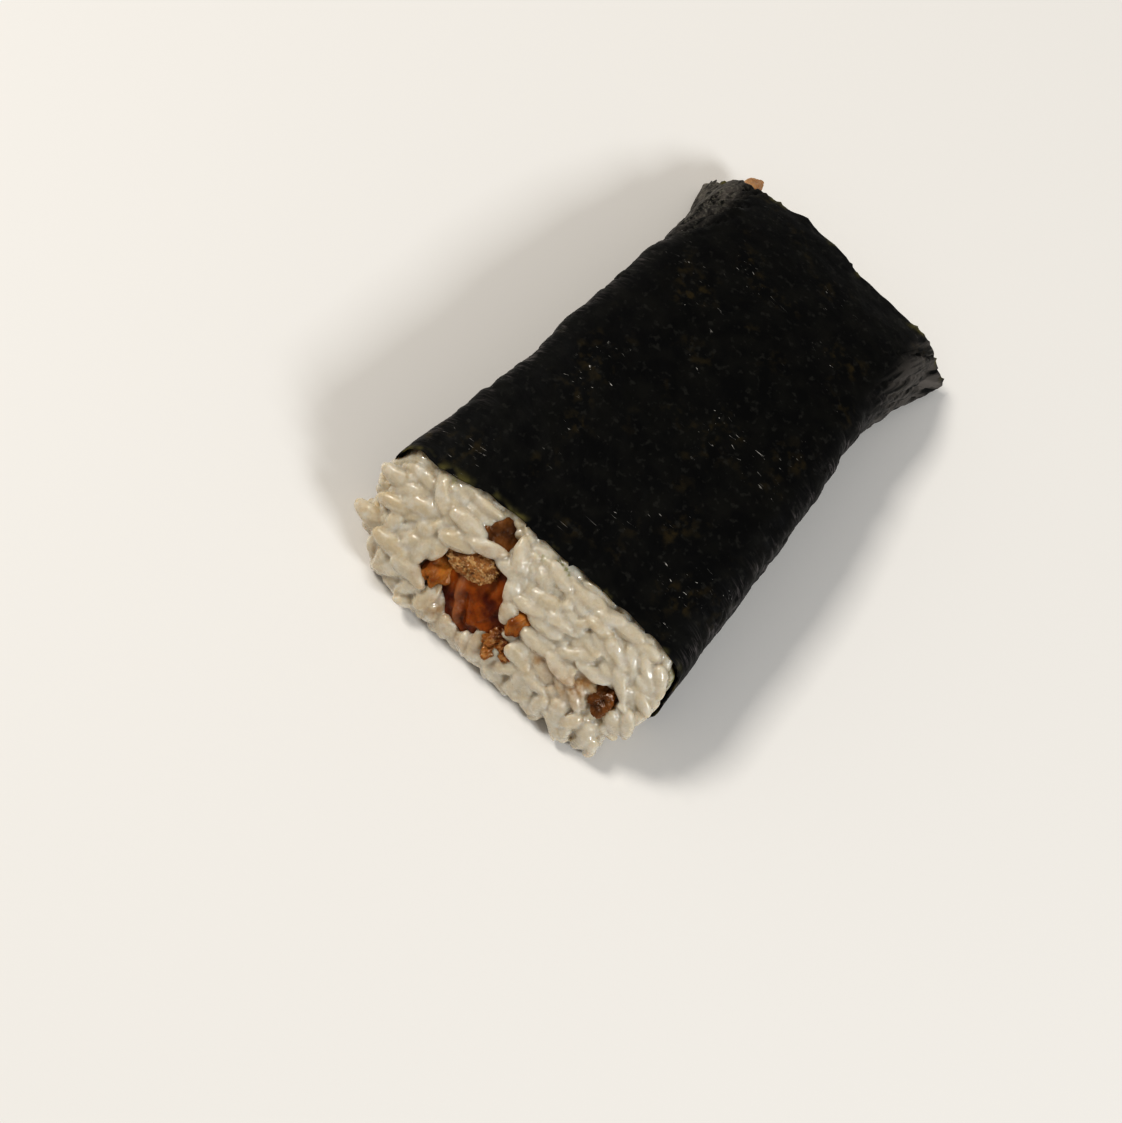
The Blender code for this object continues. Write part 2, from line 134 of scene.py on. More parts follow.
def outline_point(y, angle, inset=0.0, ear_reach=(0.0, 0.0)):
    """A point of the bar's outline at y, at an angle from +X towards +Z, moved inwards by inset.

    The ears are the flared far corners of the sheet, to the left and to the right.
    """
    half_height = bar_height(y) / 2
    across, up = math.cos(angle), math.sin(angle)
    across = math.copysign(abs(across) ** (2 / SQUARENESS), across)
    up = math.copysign(abs(up) ** (2 / SQUARENESS), up)
    z = half_height * (1 + up)
    ear = ear_reach[int(across > 0)] * ease(EAR_START, FAR_RIM, y) * (1 - ease(*EAR_HEIGHTS, z))
    x = across * (half_width(y, z) + ear - inset)
    z = half_height + up * (half_height - inset)
    return Vector((bar_middle(y) + x, y, max(z - FLATTENED, inset)))


def near_rim(z):
    """Y of the nori's near rim at the height z: it reaches further out underneath."""
    return NEAR_RIM - NEAR_RIM_SLANT * (1 - z / bar_height(NEAR_RIM))


def slope_face(x, z):
    """Y of the rough slope that the rice makes at the near end."""
    drop = min(max((SLOPE_TOP_Z - z) / (SLOPE_TOP_Z - SLOPE_FOOT_Z), 0.0), 1.0)
    corner = min(abs(x) / SLOPE_HALF_WIDTH[int(x > 0)], 1.0) ** 6
    return SLOPE_TOP - SLOPE_REACH * math.sin(drop * math.pi / 2) * (1 - SLOPE_CORNER_LOSS * corner)


def unit_ball(segments, rings):
    """A ball of radius 1, with its faces in one set order: Blender makes them in any order."""
    shape = bmesh.new()
    bmesh.ops.create_uvsphere(shape, u_segments=segments, v_segments=rings, radius=1)
    shape.verts.index_update()
    in_order = sorted(shape.faces, key=lambda face: sorted(vert.index for vert in face.verts))
    places = {face: place for place, face in enumerate(in_order)}
    shape.faces.sort(key=lambda face: places[face])
    return shape


def place_on_loaf(point, rings, cap):
    """Where a ball's vertex goes on a long body along Y: the angle round it, how far out, how far along.

    The first and last rings, as many as cap, spread out over the ends.
    """
    ring = round((math.asin(max(-1.0, min(1.0, point.z))) / math.pi + 0.5) * rings)
    spread = min(ring / cap, (rings - ring) / cap, 1.0)
    passed = min(max((ring - cap) / (rings - 2 * cap), 0.0), 1.0)
    return math.atan2(point.y, point.x), spread, passed


def face_outwards(shape):
    """Turn a bmesh's faces over where they look inwards."""
    if shape.calc_volume(signed=True) < 0:
        bmesh.ops.reverse_faces(shape, faces=shape.faces)
    shape.normal_update()


def add_object(name, data):
    """A new object with that data, in the scene."""
    made = bpy.data.objects.new(name, data)
    bpy.context.scene.collection.objects.link(made)
    return made


def make_piece(name, shape, material):
    """Turn a bmesh in the bar's millimetres into a smooth object in the frame, riding on the food."""
    face_outwards(shape)
    bmesh.ops.transform(shape, matrix=BAR_PLACE, verts=shape.verts)
    mesh = bpy.data.meshes.new(name)
    shape.to_mesh(mesh)
    shape.free()
    mesh.shade_smooth()
    mesh.materials.append(material)
    piece = add_object(name, mesh)
    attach(piece, "root")
    return piece


def add_node(tree, kind, inputs=(), **settings):
    """Add a shader node with its settings, and a value or a link for each named input."""
    made = tree.nodes.new("ShaderNode" + kind)
    for name, value in settings.items():
        setattr(made, name, value)
    for name, value in dict(inputs).items():
        if isinstance(value, bpy.types.NodeSocket):
            tree.links.new(value, made.inputs[name])
        else:
            made.inputs[name].default_value = value
    return made


def mix_colour(tree, factor, first, second):
    """The colour between two colours, each a link or three numbers."""
    mix = tree.nodes.new("ShaderNodeMix")
    mix.data_type = "RGBA"
    for index, value in ((0, factor), (6, first), (7, second)):
        if isinstance(value, bpy.types.NodeSocket):
            tree.links.new(value, mix.inputs[index])
        else:
            mix.inputs[index].default_value = value if index == 0 else (*value, 1)
    return mix.outputs[2]


def between(tree, value, low, high):
    """A mask that is 0 where the value is low or less, and 1 where it is high or more."""
    return add_node(tree, "MapRange", {"Value": value, "From Min": low, "From Max": high}).outputs["Result"]


def speckle(tree, place, scale, low, high, detail=2.0):
    """A mask from 0 to 1 of noise, with that many lumps a metre, that turns on between low and high."""
    grain = add_node(tree, "TexNoise", {"Vector": place, "Scale": scale, "Detail": detail})
    return between(tree, grain.outputs["Fac"], low, high)


def painted(tree, layer):
    """The value that the mesh's attribute of that name has at a point."""
    return add_node(tree, "Attribute", attribute_name=layer).outputs["Fac"]


def times(tree, first, second):
    """The product of two numbers, each a link or a value."""
    return add_node(tree, "Math", {0: first, 1: second}, operation="MULTIPLY").outputs[0]


def start_material(name, **inputs):
    """A Principled material with its uniform numbers set, its tree, shader and Object coordinates."""
    material = bpy.data.materials.new(name)
    material.use_nodes = True
    tree = material.node_tree
    shader = tree.nodes["Principled BSDF"]
    for socket, value in inputs.items():
        shader.inputs[socket.replace("_", " ")].default_value = value
    place = add_node(tree, "TexCoord").outputs["Object"]
    return material, tree, shader, place


def moist_skin():
    """The group that gives moist food its fine uneven relief and its broken film of wet."""
    group = bpy.data.node_groups.new("moist skin", "ShaderNodeTree")
    sockets = group.interface
    for name in ("Lumps a Metre", "Film", "Dry Roughness", "Wet Roughness"):
        sockets.new_socket(name=name, in_out="INPUT", socket_type="NodeSocketFloat")
    for name in ("Height", "Wet", "Roughness"):
        sockets.new_socket(name=name, in_out="OUTPUT", socket_type="NodeSocketFloat")
    given = group.nodes.new("NodeGroupInput")
    result = group.nodes.new("NodeGroupOutput")
    place = add_node(group, "TexCoord").outputs["Object"]
    lumps = add_node(
        group, "TexNoise", {"Vector": place, "Scale": given.outputs[0], "Detail": 4.0, "Roughness": 0.6}
    )
    film = speckle(group, place, times(group, given.outputs[0], 0.45), 0.38, 0.62)
    wet_amount = times(group, film, given.outputs[1])
    dullness = add_node(
        group, "MapRange", {"Value": wet_amount, "To Min": given.outputs[2], "To Max": given.outputs[3]}
    )
    group.links.new(lumps.outputs["Fac"], result.inputs["Height"])
    group.links.new(wet_amount, result.inputs["Wet"])
    group.links.new(dullness.outputs["Result"], result.inputs["Roughness"])
    return group


MOIST_SKIN = moist_skin()


def add_moist_skin(tree, shader, lumps, film, roughness, strength, depth):
    """Feed the shader's relief, roughness (dry, wet) and wet coat from the moist skin group."""
    skin = tree.nodes.new("ShaderNodeGroup")
    skin.node_tree = MOIST_SKIN
    skin.inputs["Lumps a Metre"].default_value = lumps
    skin.inputs["Film"].default_value = film
    skin.inputs["Dry Roughness"].default_value, skin.inputs["Wet Roughness"].default_value = roughness
    bump = add_node(tree, "Bump", {"Height": skin.outputs["Height"], "Strength": strength, "Distance": depth})
    tree.links.new(bump.outputs["Normal"], shader.inputs["Normal"])
    tree.links.new(skin.outputs["Roughness"], shader.inputs["Roughness"])
    tree.links.new(skin.outputs["Wet"], shader.inputs["Coat Weight"])


def rice_material():
    """Warm white moist rice with painted shade in its deep gaps; sauce and seaweed stain it and a painted
    shadow darkens it by the seam, where the grains' attributes say so.
    """
    material, tree, shader, place = start_material(
        "rice", Subsurface_Weight=1.0, Subsurface_Radius=(1.0, 0.84, 0.66), Subsurface_Scale=0.003,
        Specular_IOR_Level=0.5, IOR=1.45, Coat_Roughness=0.05, Coat_IOR=1.45,
    )
    # Its second, darker colour also paints shade into the deep gaps between the grains.
    cream = mix_colour(tree, painted(tree, "tint"), (0.575, 0.516, 0.412), (0.54, 0.455, 0.32))
    cloudy = mix_colour(tree, speckle(tree, place, 420.0, 0.45, 0.7), cream, (0.615, 0.57, 0.485))
    # Sauce stain and painted shadow: brown round the filling and along and below the seam.
    soaked_and_shaded = times(tree, painted(tree, "sauce_and_shadow"), speckle(tree, place, 500.0, 0.25, 0.6))
    stained_and_shaded = mix_colour(tree, soaked_and_shaded, cloudy, (0.36, 0.21, 0.085))
    green = times(tree, painted(tree, "weed"), speckle(tree, place, 380.0, 0.4, 0.6))
    shown = mix_colour(tree, green, stained_and_shaded, (0.26, 0.25, 0.05))
    tree.links.new(shown, shader.inputs["Base Color"])
    add_moist_skin(tree, shader, 2000.0, 0.7, (0.36, 0.1), 0.7, 0.00012)
    return material


RICE_SEGMENTS = 96
RICE_RINGS = 60
RICE_CAP = 22
rice_look = rice_material()
core = unit_ball(RICE_SEGMENTS, RICE_RINGS)
for vert in core.verts:
    turn, spread, passed = place_on_loaf(vert.co, RICE_RINGS, RICE_CAP)
    off_foot = ease(-0.8, -0.2, math.sin(turn))
    bare_inset = blend(*CORE_BARE_INSET, off_foot)
    bare_inset = blend(bare_inset, CORE_LEFT_INSET, ease(-0.75, -0.95, math.cos(turn)))
    edge = outline_point(SLOPE_TOP, turn, bare_inset)
    near = Vector((bar_middle(SLOPE_TOP), SLOPE_TOP, bar_height(SLOPE_TOP) / 2)).lerp(edge, spread)
    near_y = slope_face(near.x, near.z) + CORE_SINK + blend(*CORE_ROUNDING, off_foot) * spread ** 6
    rim_y = near_rim(edge.z)
    wrapped_y = max(near_y + 2.0, rim_y - 1.5)
    far_y = FAR_FACE - CORE_FAR_ROUNDING * spread ** 6
    if passed <= CORE_NEAR_SHARE:
        y = blend(near_y, wrapped_y, passed / CORE_NEAR_SHARE)
    else:
        y = blend(wrapped_y, far_y, (passed - CORE_NEAR_SHARE) / (1 - CORE_NEAR_SHARE))
    wrapped = ease(rim_y + CORE_WRAP_START[0], rim_y + CORE_WRAP_START[1], y)
    far_inset = blend(CORE_FAR_INSET, CORE_INSET, off_foot)
    inset = blend(blend(bare_inset, CORE_INSET, wrapped), far_inset, ease(*CORE_FAR_START, y))
    middle = Vector((bar_middle(y), y, bar_height(y) / 2))
    vert.co = middle.lerp(outline_point(y, turn, inset), spread)
    long_pitch, short_pitch = CORE_LUMP_PITCH
    vert.co.y += CORE_LUMP * noise.noise(vert.co / long_pitch) * (1 - ease(0.9, 1.0, spread))
    lift = 0.5 * CORE_LUMP * noise.noise(vert.co / short_pitch + Vector((9, 0, 0)))
    vert.co.z += lift * (1 - wrapped)
    foot_corner = ease(*FOOT_CORNER_X, vert.co.x) * ease(*FOOT_CORNER_Z, vert.co.z)
    vert.co.x -= FOOT_CORNER_LOSS * foot_corner * (1 - wrapped)
    vert.co.z = max(vert.co.z, CORE_FOOT_GAP)
face_outwards(core)
# The polygons that no nori covers carry the grains: (middle, normal, area) of each.
bare_spots = [
    (face.calc_center_median(), face.normal.copy(), face.calc_area())
    for face in core.faces
    if face.calc_center_median().y < near_rim(face.calc_center_median().z) + 1.5
    or (face.calc_center_median().y > FAR_FACE - 3.5 and face.normal.y > 0.4)
]
core_surface = BVHTree.FromBMesh(core)
# The core's two ends, cut off and closed, for the grains there to be stuck to.
CORE_CUTS = (-46.0, 42.0)
core_ends = []
for cut, facing in zip(CORE_CUTS, (1, -1)):
    end = core.copy()
    bmesh.ops.bisect_plane(
        end, geom=end.verts[:] + end.edges[:] + end.faces[:], plane_co=(0, cut, 0), plane_no=(0, facing, 0),
        clear_outer=True,
    )
    bmesh.ops.holes_fill(end, edges=[edge for edge in end.edges if edge.is_boundary])
    core_ends.append(bpy.data.meshes.new("core_end"))
    end.to_mesh(core_ends[-1])
    end.free()
packed_rice = make_piece("packed_rice", core, rice_look)
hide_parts("rice")

# ---- The filling ------------------------------------------------------------------------------
# Cut-up fried chicken in a dark sticky glaze. One long piece runs through the bar, shorter pieces
# lie round its near end and in the seam to the right, and a plain piece sticks out at the far end.
STRIP_SEGMENTS = 72
STRIP_RINGS = 96
STRIP_CAP = 30
# The long piece's section at its near and far end: middle X and Z, half width and half height.
STRIP_NEAR = (-4.3, 12.8, 8.0, 7.4)
STRIP_FAR = (-6.0, 7.6, 11.0, 4.2)
# It sinks and flattens over this part of its length.
STRIP_SLOPE = (0.4, 1.0)
STRIP_BULGE = 1.0
STRIP_ROUNDING = (1.5, 2.0)


def glazed_material(name, dark, bright, lumps_a_metre, film, crumb=(0.0, 0.0, 0.0), crumbs=0.0, **inputs):
    """Meat under a wet glaze: dark where the glaze is deep, bright where it runs thin, with crumbs."""
    material, tree, shader, place = start_material(
        name, Coat_Roughness=0.06, Coat_IOR=1.35, Specular_IOR_Level=0.25, **inputs
    )
    deep = speckle(tree, place, 260.0, 0.35, 0.65, 4.0)
    meat = mix_colour(tree, deep, dark, bright)
    meat = mix_colour(tree, painted(tree, "pale"), meat, (0.46, 0.22, 0.10))
    if crumbs:
        scattered = times(tree, speckle(tree, place, 900.0, 0.5, 0.58, 3.0), crumbs)
        meat = mix_colour(tree, scattered, meat, crumb)
    tree.links.new(meat, shader.inputs["Base Color"])
    add_moist_skin(tree, shader, lumps_a_metre, film, (0.5, 0.2), 0.6, 0.0004)
    return material


core_look = glazed_material(
    "deep glaze", (0.09, 0.012, 0.0006), (0.325, 0.088, 0.006), 1100.0, 0.7,
    Subsurface_Weight=0.25, Subsurface_Radius=(1.0, 0.25, 0.08), Subsurface_Scale=0.002,
)
glaze_look = glazed_material(
    "thin glaze", (0.12, 0.030, 0.003), (0.36, 0.15, 0.03), 900.0, 0.6,
    crumb=(0.50, 0.29, 0.12), crumbs=0.5,
    Subsurface_Weight=0.2, Subsurface_Radius=(1.0, 0.3, 0.1), Subsurface_Scale=0.0015,
)
crisp_look = glazed_material(
    "golden crust", (0.20, 0.075, 0.016), (0.40, 0.20, 0.065), 1600.0, 0.9,
    crumb=(0.56, 0.36, 0.17), crumbs=0.8,
    Subsurface_Weight=0.15, Subsurface_Radius=(1.0, 0.5, 0.2), Subsurface_Scale=0.001,
)
soft_look = glazed_material(
    "amber glaze", (0.20, 0.06, 0.006), (0.48, 0.20, 0.04), 500.0, 0.5,
    Subsurface_Weight=0.35, Subsurface_Radius=(1.0, 0.35, 0.1), Subsurface_Scale=0.002,
)
brown_look = glazed_material(
    "brown glaze", (0.05, 0.015, 0.0015), (0.215, 0.085, 0.017), 600.0, 0.6,
    Subsurface_Weight=0.2, Subsurface_Radius=(1.0, 0.4, 0.15), Subsurface_Scale=0.002,
)
plain_look = glazed_material(
    "plain chicken", (0.34, 0.18, 0.08), (0.50, 0.31, 0.16), 800.0, 0.25,
    Subsurface_Weight=0.3, Subsurface_Radius=(1.0, 0.5, 0.3), Subsurface_Scale=0.0015,
)


def fold(x, z, start, end, width):
    """1 on the line from start to end, falling off to its sides."""
    line = Vector(end) - Vector(start)
    part = min(max((Vector((x, z)) - Vector(start)).dot(line) / line.length_squared, 0.0), 1.0)
    away = (Vector((x, z)) - Vector(start) - line * part).length
    return math.exp(-(away / width) ** 2)


# Folds of the long piece's near face: (X, Z) of both ends, width and height. The first, its
# brightest, is meat that shows pale through the glaze.
STRIP_FOLDS = (
    ((-10.0, 15.5), (-5.5, 8.5), 0.7, 0.9), ((-8.6, 16.0), (-4.4, 9.0), 0.9, -0.8),
    ((-4.6, 20.0), (-3.8, 16.5), 1.3, -0.8), ((-3.5, 11.0), (2.5, 11.5), 0.9, 0.6),
    ((0.5, 17.0), (-2.0, 12.5), 0.6, 0.5), ((-7.5, 9.0), (-1.5, 8.0), 0.7, -0.6),
)
STRIP_LUMP = 0.7
STRIP_LUMP_PITCH = 3.4
STRIP_CRAG = 0.16
PALE_FOLD = 0.5
strip = unit_ball(STRIP_SEGMENTS, STRIP_RINGS)
pale_layer = strip.verts.layers.float.new("pale")
for vert in strip.verts:
    turn, spread, part = place_on_loaf(vert.co, STRIP_RINGS, STRIP_CAP)
    sunk = ease(*STRIP_SLOPE, part)
    parts = (part, sunk, part, sunk)
    middle_x, middle_z, wide, high = map(blend, STRIP_NEAR, STRIP_FAR, parts)
    crag = 1 + STRIP_CRAG * noise.noise(Vector((2 * math.cos(turn), part * 9, 2 * math.sin(turn))))
    x = middle_x + math.cos(turn) * spread * wide * crag
    z = middle_z + math.sin(turn) * spread * high * crag
    folds = [height * fold(x, z, start, end, width) for start, end, width, height in STRIP_FOLDS]
    relief = sum(folds) + STRIP_LUMP * noise.fractal(Vector((x, 0, z)) / STRIP_LUMP_PITCH, 0.7, 2.1, 5)
    near_rounding, far_rounding = STRIP_ROUNDING
    near_y = slope_face(x, z) - STRIP_BULGE + near_rounding * spread ** 2 - relief * (1 - spread ** 8)
    far_y = FAR_FACE + STRIP_BULGE - far_rounding * spread ** 2
    vert.co = Vector((x, blend(near_y, far_y, part), z))
    vert[pale_layer] = PALE_FOLD * folds[0] * (part == 0.0)
strip_piece = make_piece("glazed_core", strip, core_look)
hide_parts("chicken_core")

# name, node, slot, centre, half sizes, turn about Y, coarse and fine roughness, fineness, seed, look
CHUNKS = (
    ("golden_crust", "chicken_crisp", "chicken_crisp",
     (-10.0, -58.8, 17.3), (6.2, 4.2, 3.2), -14, 0.2, 0.11, 9.0, 0, crisp_look),
    ("glazed_crumbs", "chicken_crumbs", "chicken_glazed",
     (3.4, -65.8, 9.8), (4.2, 4.3, 2.6), -26, 0.5, 0.16, 6.0, 1, glaze_look),
    ("left_shred", "chicken_left", "chicken_glazed",
     (-14.9, -62.6, 12.4), (3.3, 5.6, 2.6), 0, 0.35, 0.06, 5.0, 2, soft_look),
    ("right_shred", "chicken_right", "chicken_glazed",
     (4.4, -60.4, 15.6), (2.8, 5.2, 2.6), 0, 0.25, 0.04, 5.0, 3, soft_look),
    ("upper_shred", "chicken_edge", "chicken_glazed",
     (-8.6, -51.6, 21.9), (5.2, 6.2, 1.8), 12, 0.35, 0.07, 5.0, 4, brown_look),
    ("seam_shred", "chicken_side", "chicken_glazed",
     (26.9, -60.8, 13.7), (3.3, 4.2, 2.0), -12, 0.5, 0.10, 6.0, 5, brown_look),
    ("plain_chunk", "chicken_far", "chicken_pale",
     (-24.5, 50.0, 8.4), (3.0, 8.5, 3.6), 0, 0.2, 0.03, 7.0, 6, plain_look),
)
CHUNK_CUTS = 6
for name, node, slot, centre, radii, turn, coarse, fine, fineness, seed, look in CHUNKS:
    chunk = bmesh.new()
    bmesh.ops.create_icosphere(chunk, subdivisions=CHUNK_CUTS, radius=1)
    for vert in chunk.verts:
        way = vert.co.copy()
        crag = 1 + coarse * noise.noise(way * 1.6 + Vector((seed, 0, 0)))
        crag += fine * noise.fractal(way * fineness + Vector((0, seed, 0)), 0.8, 2.2, 4)
        vert.co = Vector((way.x * radii[0], way.y * radii[1], way.z * radii[2])) * crag
    lean = Matrix.Translation(centre) @ Euler((0, math.radians(turn), 0)).to_matrix().to_4x4()
    bmesh.ops.transform(chunk, matrix=lean, verts=chunk.verts)
    piece = make_piece(name, chunk, look)
    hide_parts(node)

# ---- The grains that show ---------------------------------------------------------------------
# Plump, slightly bent grains about 8 mm long that stick to the core and to each other. They lie
# in rows where the mould pressed them, hang over the filling, and stick out at the left corner.
GRAIN_LENGTH = 8.2
GRAIN_WIDTH = 3.4
GRAIN_THICKNESS = 2.6
GRAIN_KINDS = 12
GRAIN_SEGMENTS = 14
GRAIN_RINGS = 10
GRAIN_ROUGHNESS = 0.03
USUAL_ROOM = 2.1
PLACED_ROOM = 2.4
STICKY_REACH = 0.09
MOST_TRIANGLES = 188000
# Where the grains' surface lies deep between them, shade is painted in as a darker, creamier tint: depth over
# the core.
GROOVE_SHADE_DEPTH = (2.0, 0.6)
# How creamy single grains are, and how much more the left side of the near end and the foot are.
GRAIN_TINT = 0.6
LEFT_WARMTH = 0.3
FOOT_WARMTH = 0.25
WEED_STAIN = 0.7
WEED_CHANCE = 0.15
# The grains keep clear of the nori, more at its pleated far end, and of the filling.
WRAP_INSET = 1.1
FAR_PLEAT_DEPTH = 1.2
FILLING_MARGIN = 1.6
# Each turn of settling undoes these shares of a grain's overlap, of its depth in the core and of its
# excess height over it, and moves it that much further from the middle of filling that it touches.
SETTLE_TURNS = 36
SETTLE_APART, SETTLE_UP, SETTLE_DOWN, SETTLE_ASIDE = 0.5, 0.8, 0.5, 0.2
# A grain that won't fit under the nori moves inwards by this much, up to so many times.
FIT_STEP = 0.3
FIT_TRIES = 7
# Middle of each piece of filling on the slope, and half its width and height there.
FILLING = (
    (-10.8, 17.6, 5.2, 2.4), (-4.8, 13.2, 7.2, 6.6), (3.4, 10.4, 3.4, 2.4), (-14.9, 13.4, 3.4, 1.7),
    (4.0, 16.0, 2.4, 2.4), (-8.0, 23.4, 2.6, 0.9), (27.2, 14.8, 2.6, 0.6),
)
# The seam that sauce has soaked along, with a painted shadow below its ledge, and the stains and painted
# shadow beside it: X, Z, half sizes, amount.
SHADED_SEAM = ((12.0, 15.0), (17.0, 15.4), (21.5, 14.8), (25.0, 15.2))
SHADED_SEAM_WIDTH = 1.3
STAINS_AND_SHADOW = ((20.0, 13.0, 5.5, 2.2, 0.45), (-10.0, 8.6, 2.0, 1.2, 0.5))
# Grains that frame the filling: place on the slope (X, Z), turn from +X down the slope, height over
# the core, and share of a full grain's length.
FRAMING_GRAINS = (
    (-15.2, 21.4, 2, 3.2, 1.1), (-10.3, 20.6, -14, 3.7, 1.25), (-2.0, 21.9, 55, 2.4, 0.62),
    (-0.2, 18.6, 74, 2.8, 0.78), (1.8, 15.9, 84, 2.6, 0.6), (-17.6, 15.9, 100, 2.2, 0.7),
    (-18.9, 10.5, 6, 2.8, 1.0), (-23.0, 7.4, 135, 2.4, 1.1), (-17.4, 6.8, 112, 2.2, 0.8),
    (9.1, 18.0, -4, 2.5, 1.0), (9.8, 15.1, 4, 2.4, 1.05), (9.4, 12.2, 20, 2.2, 0.9),
    (-11.8, 6.0, 100, 2.0, 0.8), (-6.4, 4.6, 98, 2.0, 0.8), (-1.6, 5.4, 80, 2.2, 0.7),
    (2.2, 5.6, 102, 2.2, 0.85), (6.2, 20.6, -8, 2.4, 0.9), (3.4, 22.4, 30, 2.2, 0.8),
    (-29.4, 15.6, 165, 2.8, 0.9), (-24.6, 11.4, 178, 3.2, 1.15), (-24.4, 18.8, 158, 2.0, 1.15),
    (-32.4, 18.0, 172, 2.2, 1.0), (-31.0, 10.0, 176, 3.2, 1.2),
)
# The lowest rows hang over the core's foot: X from and to, step, height on the slope.
FOOT_ROWS = ((-27.5, 32.0, 3.3, 4.4), (-28.5, 32.5, 3.6, 7.6))
# The highest row lies along the nori's near rim.
RIM_ROW = (-33.0, 33.0, 4.6, 24.2)


def grain_kind(rng):
    """One kind of grain about the origin, along Z: fuller than an egg, bent, with a dented side."""
    shape = unit_ball(GRAIN_SEGMENTS, GRAIN_RINGS)
    taper, bend, dent = rng.uniform(0.0, 0.25), rng.uniform(-0.9, 0.9), rng.uniform(0.0, 0.4)
    blunt = rng.uniform(2.3, 3.2)
    seed = Vector((rng.uniform(0, 50), rng.uniform(0, 50), 0))
    for vert in shape.verts:
        along = vert.co.z
        ring = math.hypot(vert.co.x, vert.co.y)
        full = math.sqrt(max(1 - abs(along) ** blunt, 0.0)) / ring if ring > 0.01 else 0.0
        across = full * (1 - taper * along) * (1 + 0.25 * noise.noise(vert.co * 1.7 + seed))
        side = vert.co.x * across * GRAIN_THICKNESS / 2
        side -= dent * math.exp(-((along - 0.5) / 0.35) ** 2) * max(vert.co.x, 0.0)
        depth = vert.co.y * across * GRAIN_WIDTH / 2
        vert.co = Vector((side + bend * along ** 2, depth, along * GRAIN_LENGTH / 2))
    mesh = bpy.data.meshes.new("grain_kind")
    shape.to_mesh(mesh)
    shape.free()
    return mesh


def nearest_filling(x, z, margin=0.0):
    """How far a place on the slope is from a piece of filling, 1 at its edge, and that piece's middle."""
    return min(
        (math.hypot((x - px) / (rx + margin), (z - pz) / (rz + margin)), px, pz) for px, pz, rx, rz in FILLING
    )


def sauce_and_shadow_at(place):
    """How much sauce has soaked into the rice at a place round the filling, and how much sauce stain and
    painted shadow lie along the seam and below it.
    """
    if place.y > near_rim(place.z) + 4:
        return 0.0
    near_filling = ease(1.35, 1.0, nearest_filling(place.x, place.z)[0])
    # Painted shadow below the seam's ledge, together with the sauce soaked along it.
    seam_shadow = max(fold(place.x, place.z, start, end, SHADED_SEAM_WIDTH) for start, end in zip(SHADED_SEAM, SHADED_SEAM[1:]))
    stains_and_shadow = sum(
        amount * math.exp(-((place.x - x) / wide) ** 2 - ((place.z - z) / high) ** 2)
        for x, z, wide, high, amount in STAINS_AND_SHADOW
    )
    return min(0.3 * near_filling + 0.8 * seam_shadow + stains_and_shadow, 1.0)


def heading(place, rng):
    """The angle from +X, turned down the slope, in which the grains at a place tend to lie."""
    if place.x < -17:
        lie = (155, 30) if place.z > 17 else (118, 22)
    elif place.z < 9.5:
        lie = (92, 20)
    elif place.x > 27:
        lie = (52, 18)
    elif place.x > 4:
        lie = (10, 22)
    else:
        lie = (20, 60)
    return math.radians(rng.gauss(*lie))


def slope_frame(x, z):
    """A place on the slope, and its outward normal and its way down there."""
    place = Vector((x, slope_face(x, z), z))
    across = Vector((x + 0.5, slope_face(x + 0.5, z), z)) - place
    up = Vector((x, slope_face(x, z + 0.5), z + 0.5)) - place
    return place, across.cross(up).normalized(), -up.normalized()


def wrap_fit(place, inset):
    """How far out a place is: 1 on the outline moved inwards by inset, clear of the far end's pleats."""
    half_height = bar_height(place.y) / 2
    pleats = FAR_PLEAT_DEPTH if place.y > 0 else 0.0
    rise = place.z + FLATTENED - half_height
    across = abs(place.x - bar_middle(place.y)) / (half_width(place.y, place.z) - inset - pleats)
    up = abs(rise) / (half_height - inset - (pleats if rise > 0 else 0.0))
    return (across ** SQUARENESS + up ** SQUARENESS) ** (1 / SQUARENESS)


def is_wrapped(place):
    """Whether a place lies where the nori goes round it."""
    return near_rim(place.z) - 0.5 < place.y < FAR_RIM + 1.0


def near_points(first, last, pairs):
    """Where the middle lines of each pair of grains come closest, as parts of the way along each."""
    left, right = pairs
    a, b = last[left] - first[left], last[right] - first[right]
    gap = first[left] - first[right]
    aa, bb, ab = (a * a).sum(1), (b * b).sum(1), (a * b).sum(1)
    ag, bg = (a * gap).sum(1), (b * gap).sum(1)
    spread = np.maximum(aa * bb - ab * ab, 1e-6)
    s = np.clip((ab * bg - ag * bb) / spread, 0, 1)
    t = np.clip((ab * s + bg) / bb, 0, 1)
    s = np.clip((ab * t - ag) / aa, 0, 1)
    return s[:, None], t[:, None]


def put_right(place, low, high, surface):
    """A grain's end, moved between low and high over the core, and clear of filling, nori and table."""
    found, normal, face, reach = surface.find_nearest(place)
    height = (place - found).dot(normal)
    if height < low:
        place += normal * (low - height) * SETTLE_UP
    elif height > high:
        place -= normal * (height - high) * SETTLE_DOWN
    away, px, pz = nearest_filling(place.x, place.z, FILLING_MARGIN)
    if away < 1 and place.y < near_rim(place.z):
        place.x += (place.x - px) * SETTLE_ASIDE
        place.z += (place.z - pz) * SETTLE_ASIDE
    if is_wrapped(place):
        out = wrap_fit(place, WRAP_INSET + GRAIN_THICKNESS / 2)
        if out > 1:
            up = bar_height(place.y) / 2 - FLATTENED
            place.x = bar_middle(place.y) + (place.x - bar_middle(place.y)) / out
            place.z = up + (place.z - up) / out
    place.z = max(place.z, GAP + GRAIN_THICKNESS / 2)
    return place


